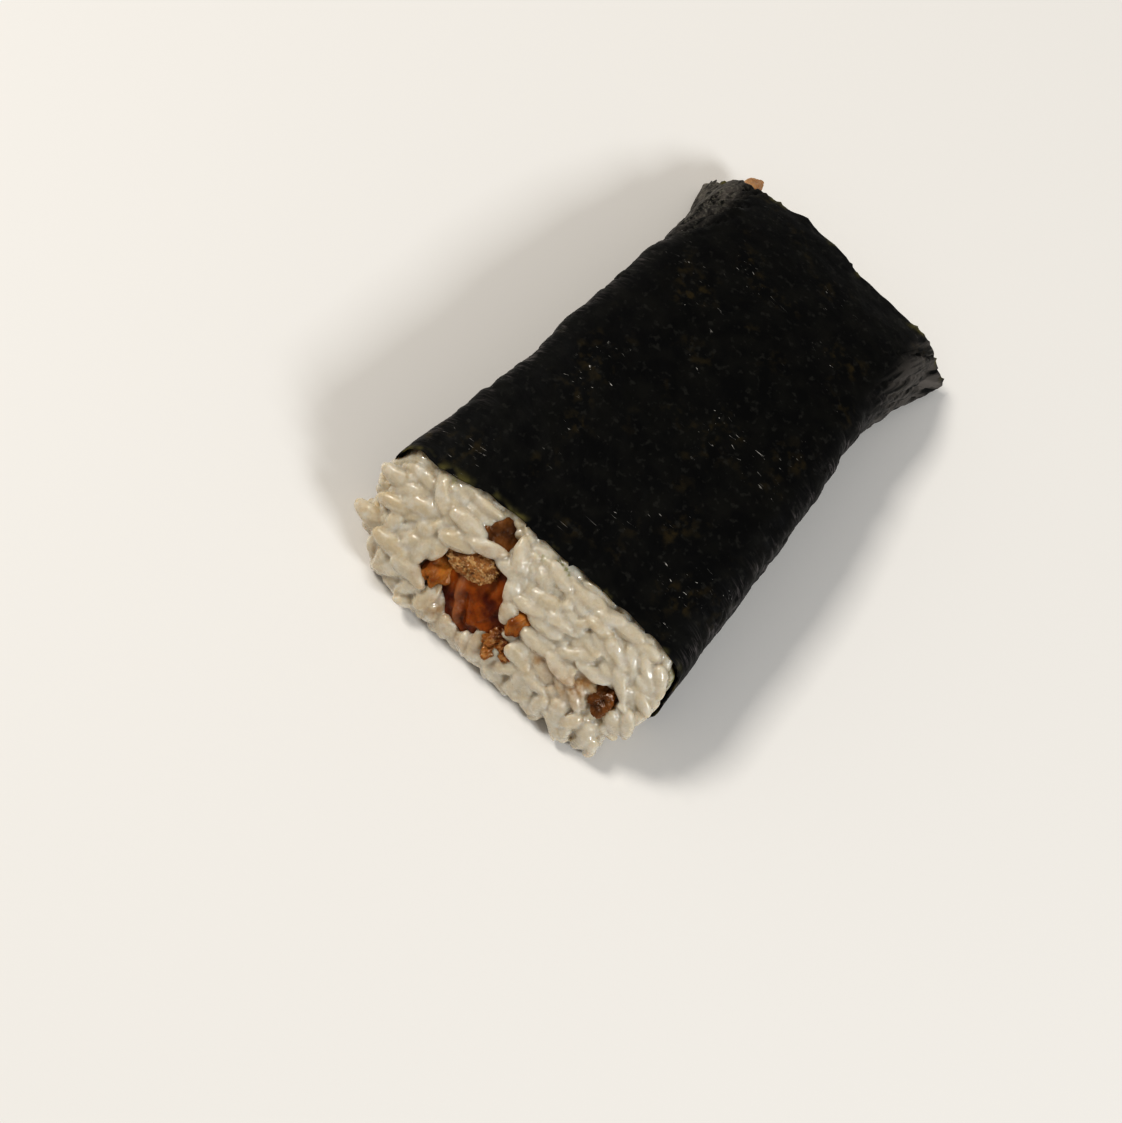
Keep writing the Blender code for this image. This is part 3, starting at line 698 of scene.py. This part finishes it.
def settle(first, last, room, low, high, fixed, surface):
    """Push grains apart and onto the core until they lie packed, as (first, last) ends of middle lines."""
    half = np.linalg.norm(last - first, axis=1)[:, None] / 2
    free = np.where(fixed, 0.0, 1.0)[:, None]
    left, right = np.triu_indices(len(first), 1)
    for turn in range(SETTLE_TURNS):
        middle = (first + last) / 2
        close = np.linalg.norm(middle[left] - middle[right], axis=1) < GRAIN_LENGTH
        pairs = left[close], right[close]
        s, t = near_points(first, last, pairs)
        on_left = first[pairs[0]] * (1 - s) + last[pairs[0]] * s
        on_right = first[pairs[1]] * (1 - t) + last[pairs[1]] * t
        apart = on_left - on_right
        distance = np.maximum(np.linalg.norm(apart, axis=1)[:, None], 0.05)
        overlap = np.maximum((room[pairs[0]] + room[pairs[1]])[:, None] / 2 - distance, 0)
        push = overlap * apart / distance * SETTLE_APART
        for ends, part_left, part_right in ((first, 1 - s, 1 - t), (last, s, t)):
            np.add.at(ends, pairs[0], push * part_left * free[pairs[0]])
            np.add.at(ends, pairs[1], -push * part_right * free[pairs[1]])
        for ends in (first, last):
            for index in np.flatnonzero(~fixed):
                ends[index] = put_right(Vector(ends[index]), low[index], high[index], surface)
        middle = (first + last) / 2
        way = (last - first) / np.maximum(np.linalg.norm(last - first, axis=1)[:, None], 1e-6)
        first[:], last[:] = middle - way * half, middle + way * half
    return first, last


def reshaped(piece, kind, **settings):
    """The piece's mesh as a modifier of that kind and those settings leaves it."""
    step = piece.modifiers.new("Step", kind)
    for name, value in settings.items():
        setattr(step, name, value)
    bpy.context.view_layer.update()
    mesh = bpy.data.meshes.new_from_object(piece.evaluated_get(bpy.context.evaluated_depsgraph_get()))
    piece.modifiers.clear()
    return mesh


def fuse(piece, voxel):
    """Stick the piece's grains to each other and to the core, and keep their attributes."""
    grain_mesh = piece.data
    # Grown, joined and shrunk again, the grains keep thin webs of starch in the gaps between them.
    for reach in (STICKY_REACH, -STICKY_REACH):
        piece.data = reshaped(piece, "REMESH", mode="VOXEL", voxel_size=voxel)
        shape = bmesh.new()
        shape.from_mesh(piece.data)
        shape.normal_update()
        for vert in shape.verts:
            vert.co += vert.normal * reach * MM
        shape.to_mesh(piece.data)
        shape.free()
    share = min(MOST_TRIANGLES / (2 * len(piece.data.polygons)), 1.0)
    fused = reshaped(piece, "DECIMATE", ratio=share)
    fused.name = grain_mesh.name
    nearest = KDTree(len(grain_mesh.vertices))
    for index, vert in enumerate(grain_mesh.vertices):
        nearest.insert(vert.co, index)
    nearest.balance()
    owners = [nearest.find(vert.co)[1] for vert in fused.vertices]
    for layer in ("tint", "weed"):
        values = np.zeros(len(grain_mesh.vertices), np.float32)
        grain_mesh.attributes[layer].data.foreach_get("value", values)
        fused.attributes.new(layer, "FLOAT", "POINT").data.foreach_set("value", values[owners])
    shape = bmesh.new()
    shape.from_mesh(fused)
    shape.normal_update()
    tint = shape.verts.layers.float["tint"]
    sauce_and_shadow = shape.verts.layers.float.new("sauce_and_shadow")
    bar_side = BAR_PLACE.inverted()
    for vert in shape.verts:
        spot = bar_side @ vert.co
        vert[sauce_and_shadow] = sauce_and_shadow_at(spot)
        # Painted shade: the deeper the surface lies between the grains, the darker and creamier its tint.
        groove_shade = ease(*GROOVE_SHADE_DEPTH, core_surface.find_nearest(spot)[3])
        warm = LEFT_WARMTH * ease(-6.0, -14.0, spot.x) * (spot.y < 0) + FOOT_WARMTH * ease(10.0, 4.0, spot.z)
        vert[tint] = min(max(GRAIN_TINT * vert[tint], groove_shade) + warm, 1.0)
        pit = noise.noise(spot / 2.6) + 0.7 * noise.noise(spot / 1.1)
        vert.co += vert.normal * pit * GRAIN_ROUGHNESS * MM
    shape.to_mesh(fused)
    shape.free()
    fused.shade_smooth()
    piece.data = fused


rng = random.Random(12)
kinds = [grain_kind(rng) for index in range(GRAIN_KINDS)]
areas = [area for middle, normal, area in bare_spots]
# Lots of grains: number, lowest and highest middle above the core, lean out of it, room each takes,
# and share of a full grain's length. The last lot is broken bits.
LOTS = (
    (400, 0.3, 0.8, 0.06, 2.1, 1.0), (60, 1.1, 1.8, 0.15, 2.3, 1.0), (40, 1.1, 1.9, 0.50, 1.5, 0.4),
)
# Each grain as laid: both ends of its middle line, its room, their lowest and highest place over the
# core, and whether it stays there.
laid = []
placed_grains = list(FRAMING_GRAINS)
for first_x, last_x, step, z in FOOT_ROWS:
    for x in np.arange(first_x, last_x, step):
        if nearest_filling(x, z)[0] > 1.1:
            placed_grains.append((
                x + rng.uniform(-0.8, 0.8), z + rng.uniform(-1.2, 0.8), rng.gauss(92, 32),
                rng.uniform(1.3, 2.2), rng.uniform(0.75, 1.05),
            ))
first_x, last_x, step, z = RIM_ROW
for x in np.arange(first_x, last_x, step):
    if nearest_filling(x, z, 1.0)[0] > 1:
        placed_grains.append((x, z + rng.uniform(-0.5, 0.3), rng.gauss(0, 22), rng.uniform(1.0, 1.8), 0.9))
for x, z, turn, height, share in placed_grains:
    spot, normal, down = slope_frame(x, z)
    turn = math.radians(turn)
    way = Vector((1, 0, 0)) * math.cos(turn) + down * math.sin(turn)
    middle = spot + normal * (height - CORE_SINK)
    reach = way * ((share * GRAIN_LENGTH - GRAIN_WIDTH) / 2)
    laid.append((middle - reach, middle + reach, PLACED_ROOM, 0.0, 9.0, True))
for count, low, high, lean, room, share in LOTS:
    for index in range(count):
        spot, normal, area = bare_spots[rng.choices(range(len(areas)), weights=areas)[0]]
        on_slope = spot.y < 0 and normal.y < -0.3
        down = (Vector((0, 0, -1)) + normal * normal.z).normalized()
        sideways = normal.cross(down).normalized()
        if sideways.x < 0:
            sideways = -sideways
        turn = heading(spot, rng) if on_slope else rng.uniform(0, math.pi)
        way = sideways * math.cos(turn) + down * math.sin(turn)
        way = (way + normal * rng.gauss(0, lean)).normalized()
        middle = spot + normal * rng.uniform(low, high)
        reach = way * (max(share * GRAIN_LENGTH * rng.uniform(0.85, 1.1) - GRAIN_WIDTH, 0.3) / 2)
        laid.append((middle - reach, middle + reach, room, low, high, False))
starts, stops, rooms, lows, highs, fixed = map(np.array, zip(*laid))
starts, stops = settle(starts, stops, rooms, lows, highs, fixed, core_surface)

# name, Y from and to, the core end that the grains there are stuck to, and the voxels' size
GRAIN_PIECES = (
    ("near_grains", -90.0, 0.0, core_ends[0], 0.23), ("far_grains", 0.0, 90.0, core_ends[1], 0.27),
)
for name, low_y, high_y, core_end, voxel in GRAIN_PIECES:
    grains = bmesh.new()
    grains.from_mesh(core_end)
    tint_layer = grains.verts.layers.float.new("tint")
    weed_layer = grains.verts.layers.float.new("weed")
    for vert in grains.verts:
        vert[tint_layer] = 0.5 + 0.5 * noise.noise(vert.co / 5.0)
    for start, stop, room, is_fixed in zip(starts, stops, rooms, fixed):
        start, stop = Vector(start), Vector(stop)
        middle = (start + stop) / 2
        if not low_y < middle.y < high_y:
            continue
        if not is_fixed and middle.y < near_rim(middle.z):
            if nearest_filling(middle.x, middle.z, 0.6 * FILLING_MARGIN)[0] < 1:
                continue
        kind = rng.choice(kinds)
        along = (stop - start).normalized()
        outwards = core_surface.find_nearest(middle)[1]
        outwards = (outwards - along * outwards.dot(along)).normalized()
        facing = Matrix((outwards, along.cross(outwards), along)).transposed().to_4x4()
        roll = Matrix.Rotation(rng.gauss(0, 0.5) + math.pi * rng.randrange(2), 4, "Z")
        girth = room / USUAL_ROOM * (1.1 - 0.15 * ease(-16.0, 6.0, middle.x))
        stretch = ((stop - start).length + GRAIN_WIDTH * girth) / GRAIN_LENGTH
        size = Matrix.Diagonal((girth * rng.uniform(0.92, 1.12), girth * rng.uniform(0.92, 1.1), stretch, 1))
        for push in range(FIT_TRIES):
            inwards = Vector((0, 0.5, bar_height(middle.y) / 2 - middle.z)).normalized() * FIT_STEP * push
            place = Matrix.Translation(middle + inwards) @ facing @ roll @ size
            corners = [place @ vert.co for vert in kind.vertices]
            if min(spot.z for spot in corners) > GAP and not any(
                is_wrapped(spot) and wrap_fit(spot, WRAP_INSET) > 1 for spot in corners
            ):
                break
        else:
            continue
        first = len(grains.verts)
        grains.from_mesh(kind)
        grains.verts.ensure_lookup_table()
        new_verts = grains.verts[first:]
        bmesh.ops.transform(grains, matrix=place, verts=new_verts)
        tint = rng.random() ** 1.5
        rim_gap = near_rim(middle.z) - middle.y
        weed = WEED_STAIN if rng.random() < WEED_CHANCE and -1 < rim_gap < 3 else 0.0
        for vert in new_verts:
            vert[tint_layer] = tint
            vert[weed_layer] = weed * ease(3.0, 0.5, near_rim(vert.co.z) - vert.co.y)
    end_grains = make_piece(name, grains, rice_look)
    fuse(end_grains, voxel * MM)
    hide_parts("rice")

# ---- The nori ---------------------------------------------------------------------------------
# Half a sheet of dried seaweed, wrapped round the bar with its outer end lapped over its inner end
# underneath. The damp rice has crinkled it; its short sides are its ragged near and far rims.
SHEET_ALONG = FAR_RIM - NEAR_RIM
SHEET_ROUND = 190.0
SHEET_THICK = 0.3
SHEET_CELLS_ROUND = 240
SHEET_CELLS_ALONG = 200
EAR_REACH = (1.6, 3.0)
LAP_START = math.radians(-97)
LAP_EASE = 10.0
# The sheet is laid out in steps of a degree, for more than one turn round the bar.
WALK_DEGREES = 440
# Depth and size of the sheet's ripples, broad, narrow and fine.
RIPPLE_DEPTHS = (0.45, 0.16, 0.05)
RIPPLE_SIZES = (16.0, 4.5, 1.3)
PLEAT_DEPTH = 0.7
FAN_DEPTH = 1.8
TEETH_DEPTH = 0.45
LEFT_DROP = 2.2
TEAR_REACH = 4.0
FRAY_REACH = 2.2
# The creases at the far left corner: (X, Y) of both ends, width, depth; the last one stands up.
CREASES = (
    ((-31.0, 37.2), (-23.0, 44.0), 0.8, 1.5), ((-29.0, 42.0), (-24.0, 47.0), 0.7, 1.1),
    ((-31.5, 34.8), (-22.5, 42.0), 0.9, -0.8),
)
FAR_RIM_BOW = 3.0
FAR_BOW_MIDDLE = -8.0
FAR_BOW_WIDTH = 14.0


def strands(tree, uv, counts, detail, distortion):
    """Noise drawn out over the sheet, with those counts of lumps round it and along it."""
    drawn = add_node(tree, "Mapping", {"Vector": uv, "Scale": counts}).outputs["Vector"]
    return add_node(
        tree, "TexNoise", {"Vector": drawn, "Scale": 1.0, "Detail": detail, "Distortion": distortion}
    ).outputs["Fac"]


def nori_material():
    """Near-black seaweed with brown-green thin spots and fine fibres, painted sheen on its walls' edges and
    far corners, and a few painted glints.
    """
    material, tree, shader, place = start_material(
        "nori", Specular_IOR_Level=0.16, Sheen_Weight=0.05, Sheen_Roughness=0.4,
    )
    uv = add_node(tree, "UVMap", uv_map="sheet").outputs["UV"]
    wisp = strands(tree, uv, (34.0, 210.0, 1.0), 4.0, 0.9)
    wear_and_sheen = painted(tree, "wear_and_sheen")
    large_spots = speckle(tree, place, 90.0, 0.52, 0.7, 3.0)
    thin = times(tree, large_spots, speckle(tree, place, 420.0, 0.5, 0.66, 3.0))
    dust = times(tree, speckle(tree, place, 640.0, 0.58, 0.70, 3.0), 0.6)
    # Painted sheen over the fibres' own wear: lighter fibres at the side walls' edges and ridge crests.
    wisp_sheen = times(tree, wear_and_sheen, between(tree, wisp, 0.5, 0.64))
    hair_and_sheen = times(tree, wisp_sheen, speckle(tree, place, 240.0, 0.40, 0.62, 3.0))
    fold_line = between(tree, strands(tree, uv, (140.0, 9.0, 1.0), 4.0, 0.0), 0.40, 0.58)
    # Painted reflection over their rough texture: the far corners' folded facets are lighter grey, the left
    # one mottled.
    folded_sheen = times(tree, painted(tree, "folded_sheen"), fold_line)
    crushed_sheen = times(tree, painted(tree, "crushed_sheen"), speckle(tree, place, 1500.0, 0.50, 0.66, 3.0))
    frayed = times(tree, painted(tree, "frayed"), speckle(tree, place, 200.0, 0.55, 0.68))
    # Painted glints: sparse short light grey streaks in the base colour stand in for glints off the fibres.
    glint_streak = between(tree, strands(tree, uv, (80.0, 200.0, 1.0), 2.0, 0.9), 0.68, 0.75)
    painted_glint = times(tree, glint_streak, speckle(tree, place, 95.0, 0.54, 0.62, 3.0))
    patch = speckle(tree, place, 210.0, 0.42, 0.68, 6.0)
    shown = mix_colour(tree, patch, (0.0018, 0.0018, 0.0017), (0.0068, 0.0065, 0.0048))
    for mask, colour in (
        (thin, (0.034, 0.024, 0.008)), (dust, (0.026, 0.025, 0.021)), (hair_and_sheen, (0.12, 0.105, 0.103)),
        (folded_sheen, (0.16, 0.143, 0.128)), (crushed_sheen, (0.20, 0.19, 0.155)), (frayed, (0.10, 0.088, 0.03)),
        (painted_glint, (0.42, 0.40, 0.37)),
    ):
        shown = mix_colour(tree, mask, shown, colour)
    tree.links.new(shown, shader.inputs["Base Color"])
    crinkle = add_node(tree, "TexNoise", {"Vector": place, "Scale": 520.0, "Detail": 4.0}).outputs["Fac"]
    fibres = times(tree, wisp, wear_and_sheen)
    height = add_node(tree, "Math", {0: fibres, 1: crinkle}, operation="ADD").outputs[0]
    bump = add_node(tree, "Bump", {"Height": height, "Strength": 0.4, "Distance": 0.0003})
    tree.links.new(bump.outputs["Normal"], shader.inputs["Normal"])
    matt = add_node(tree, "MapRange", {"Value": crinkle, "To Min": 0.42, "To Max": 0.75})
    tree.links.new(matt.outputs["Result"], shader.inputs["Roughness"])
    return material


def ridge(height, sharpness):
    """A sharp ridge where noise passes through 0: 1 on it, and 0 beside it."""
    return max(1 - sharpness * abs(height), 0.0) ** 2


sheet = bmesh.new()
bmesh.ops.create_grid(sheet, x_segments=SHEET_CELLS_ROUND, y_segments=SHEET_CELLS_ALONG, size=0.5)
uv_layer = sheet.loops.layers.uv.new("sheet")
for face in sheet.faces:
    for loop in face.loops:
        loop[uv_layer].uv = (loop.vert.co.x + 0.5, loop.vert.co.y + 0.5)
wear_and_sheen_layer, frayed_layer, folded_sheen_layer, crushed_sheen_layer = (
    sheet.verts.layers.float.new(name) for name in ("wear_and_sheen", "frayed", "folded_sheen", "crushed_sheen")
)
lap_angles = np.linspace(LAP_START, LAP_START + math.radians(WALK_DEGREES), WALK_DEGREES + 1)
walks = {}
for vert in sheet.verts:
    step = vert.co.y + 0.5
    part_along = 0.6 * step + 0.4 * (0.5 - 0.5 * math.cos(math.pi * step))
    y = NEAR_RIM + part_along * SHEET_ALONG
    row = round(y, 3)
    if row not in walks:
        points = np.array([outline_point(y, angle, 0.0, EAR_REACH) for angle in lap_angles])
        steps = np.linalg.norm(np.diff(points, axis=0), axis=1)
        walks[row] = np.concatenate([[0.0], np.cumsum(steps)])
    way = (vert.co.x + 0.5) * SHEET_ROUND
    angle = float(np.interp(way, walks[row], lap_angles))
    lap = SHEET_ROUND - walks[row][360]
    lift = (SHEET_THICK + GAP) * (1 - ease(lap, lap + LAP_EASE, way))
    flat = outline_point(y, angle, lift, EAR_REACH)
    outness = abs(flat.x - bar_middle(y)) / half_width(y, flat.z)
    off_table = ease(0.0, 3.0, flat.z)
    wall = ease(0.80, 0.99, outness) * off_table
    tip = ease(0.90, 0.99, outness) * off_table
    corner = ease(22, 38, y) * ease(0.68, 0.92, outness)
    # Bent ridges run round the side walls, stronger in some places than in others.
    bent_y = y + 2.5 * noise.noise(Vector((way / 7.0, y / 9.0, 5)))
    crest = ridge(noise.noise(Vector((way / 12.0, bent_y / 4.6, 0))), 3.5)
    crest *= 0.4 + 0.9 * abs(noise.noise(Vector((way / 20.0, y / 11.0, 2))))
    crest += 0.8 * (0.5 + noise.noise(Vector((way / 40.0, y / 5.5, 7))))
    # Pleats fan out along the far corners, and the left one is creased.
    fan = ridge(noise.noise(Vector((way / 3.6 + y / 8.0, y / 30.0, 3))), 3.0)
    pleat = crest * wall * (1 - corner) + FAN_DEPTH * fan * corner * off_table
    for first_end, last_end, width, depth in CREASES:
        pleat += depth * fold(flat.x, y, first_end, last_end, width) * (flat.z > 0.4 * bar_height(y))
    pleat *= ease(4.0, 15.0, part_along * SHEET_ALONG)
    # Fine teeth along the walls' edges.
    teeth = max(0.5 + noise.noise(Vector((way / 30.0, y / 1.3, 9))), 0.0) * ease(0.90, 1.0, outness)
    pleat += TEETH_DEPTH * teeth * crest * (1 - corner) * off_table
    broad, narrow, fine = (noise.noise(flat / size) for size in RIPPLE_SIZES)
    ripple = RIPPLE_DEPTHS[0] * (0.5 + 0.5 * broad) + RIPPLE_DEPTHS[1] * (1 + narrow)
    relief = ripple + RIPPLE_DEPTHS[2] * fine + PLEAT_DEPTH * pleat
    place = outline_point(y, angle, lift + relief * ease(0.5, 5.0, flat.z), EAR_REACH)
    # The rims slant, bow out over the filling and are torn, most at the far corners.
    rim_gap = min(part_along, 1 - part_along) * SHEET_ALONG
    spike = max(noise.noise(Vector((way / 1.3, y > 0, 0))) - 0.15, 0.0)
    ear = ease(0.85, 1.0, outness) * (y > 0)
    tear = 0.9 * noise.noise(flat / 5.0) + (1.6 + 2.0 * ear) * spike - 0.5
    left_drop = LEFT_DROP * ease(-12.0, -28.0, flat.x)
    slant = (near_rim(flat.z) - NEAR_RIM - left_drop) * (1 - part_along) ** 3
    bow = FAR_RIM_BOW * part_along ** 4 * ease(2.0, 9.0, flat.z)
    bow *= math.exp(-((flat.x - FAR_BOW_MIDDLE) / FAR_BOW_WIDTH) ** 2)
    place.y = y + slant + bow + tear * (1 - ease(0.0, TEAR_REACH, rim_gap)) * (1 if y > 0 else -1)
    vert.co = place
    # Painted sheen, partly fibre wear: the walls, and most of all their edges and ridge crests, get lighter
    # fibres.
    vert[wear_and_sheen_layer] = min((0.25 * wall + (0.4 + 0.9 * crest) * tip) * (1 - corner), 1.0)
    # Painted reflection: the folded facets of the far corners, most of all the left one, are lighter grey.
    vert[folded_sheen_layer] = corner * (0.55 + 0.45 * fan) * wall
    vert[crushed_sheen_layer] = vert[folded_sheen_layer] * (flat.x < 0)
    tips = ease(-24.0, -30.0, flat.x) * (y > 0)
    vert[frayed_layer] = (1 + tips) * (1 - ease(0.0, FRAY_REACH, rim_gap))
nori_wrap = make_piece("nori_wrap", sheet, nori_material())
thickness = nori_wrap.modifiers.new("Thickness", "SOLIDIFY")
thickness.thickness = SHEET_THICK * MM
thickness.offset = -1
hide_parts("nori")

# ---- The table, the light and the camera ------------------------------------------------------
# A plain pale table. A large soft light stands to the left, a weaker one to the right, and the
# camera looks down on the open end from its right.
FLOOR_SIZE = 12.0
FLOOR_COLOUR = (0.80, 0.775, 0.74, 1)
FLOOR_ROUGHNESS = 0.6
ROOM_COLOUR = (1.0, 0.98, 0.95, 1)
ROOM_STRENGTH = 0.26
LENS = 54.58
CAMERA_PLACE = (0.0309, -0.1607, 0.3358)
CAMERA_RIGHT = Vector((0.7489, 0.6395, 0.1739))
CAMERA_AHEAD = Vector((-0.0846, 0.3525, -0.932))

floor_shape = bmesh.new()
bmesh.ops.create_grid(floor_shape, x_segments=1, y_segments=1, size=FLOOR_SIZE / 2)
floor_mesh = bpy.data.meshes.new("table_top")
floor_shape.to_mesh(floor_mesh)
floor_shape.free()
floor = add_object("table_top", floor_mesh)
floor_look = start_material("pale table", Base_Color=FLOOR_COLOUR, Roughness=FLOOR_ROUGHNESS)[0]
floor_mesh.materials.append(floor_look)

# name, place, size, power, colour; both point at the frame's origin
LIGHTS = (
    ("left_softbox", (-1.35, 0.0, 1.53), 0.45, 17.6, (1.0, 0.97, 0.92)),
    ("right_softbox", (1.44, -0.27, 1.08), 0.45, 12.6, (0.92, 0.96, 1.0)),
)
for name, spot, size, power, colour in LIGHTS:
    lamp = bpy.data.lights.new(name, "AREA")
    lamp.size = size
    lamp.energy = power
    lamp.color = colour
    stand = add_object(name, lamp)
    stand.location = spot
    stand.rotation_euler = (-Vector(spot)).to_track_quat("-Z", "Y").to_euler()

world = bpy.data.worlds.new("room")
world.use_nodes = True
room_light = world.node_tree.nodes["Background"]
room_light.inputs["Color"].default_value = ROOM_COLOUR
room_light.inputs["Strength"].default_value = ROOM_STRENGTH
bpy.context.scene.world = world
bpy.context.scene.view_settings.view_transform = "Standard"
bpy.context.scene.view_settings.look = "High Contrast"

camera = add_object("camera", bpy.data.cameras.new("camera"))
camera.data.sensor_width = 36.0
camera.data.lens = LENS
camera.data.clip_start = 0.01
back = -CAMERA_AHEAD.normalized()
right = (CAMERA_RIGHT - back * CAMERA_RIGHT.dot(back)).normalized()
turned = Matrix((right, back.cross(right), back)).transposed().to_4x4()
camera.matrix_world = Matrix.Translation(CAMERA_PLACE) @ turned
bpy.context.scene.camera = camera
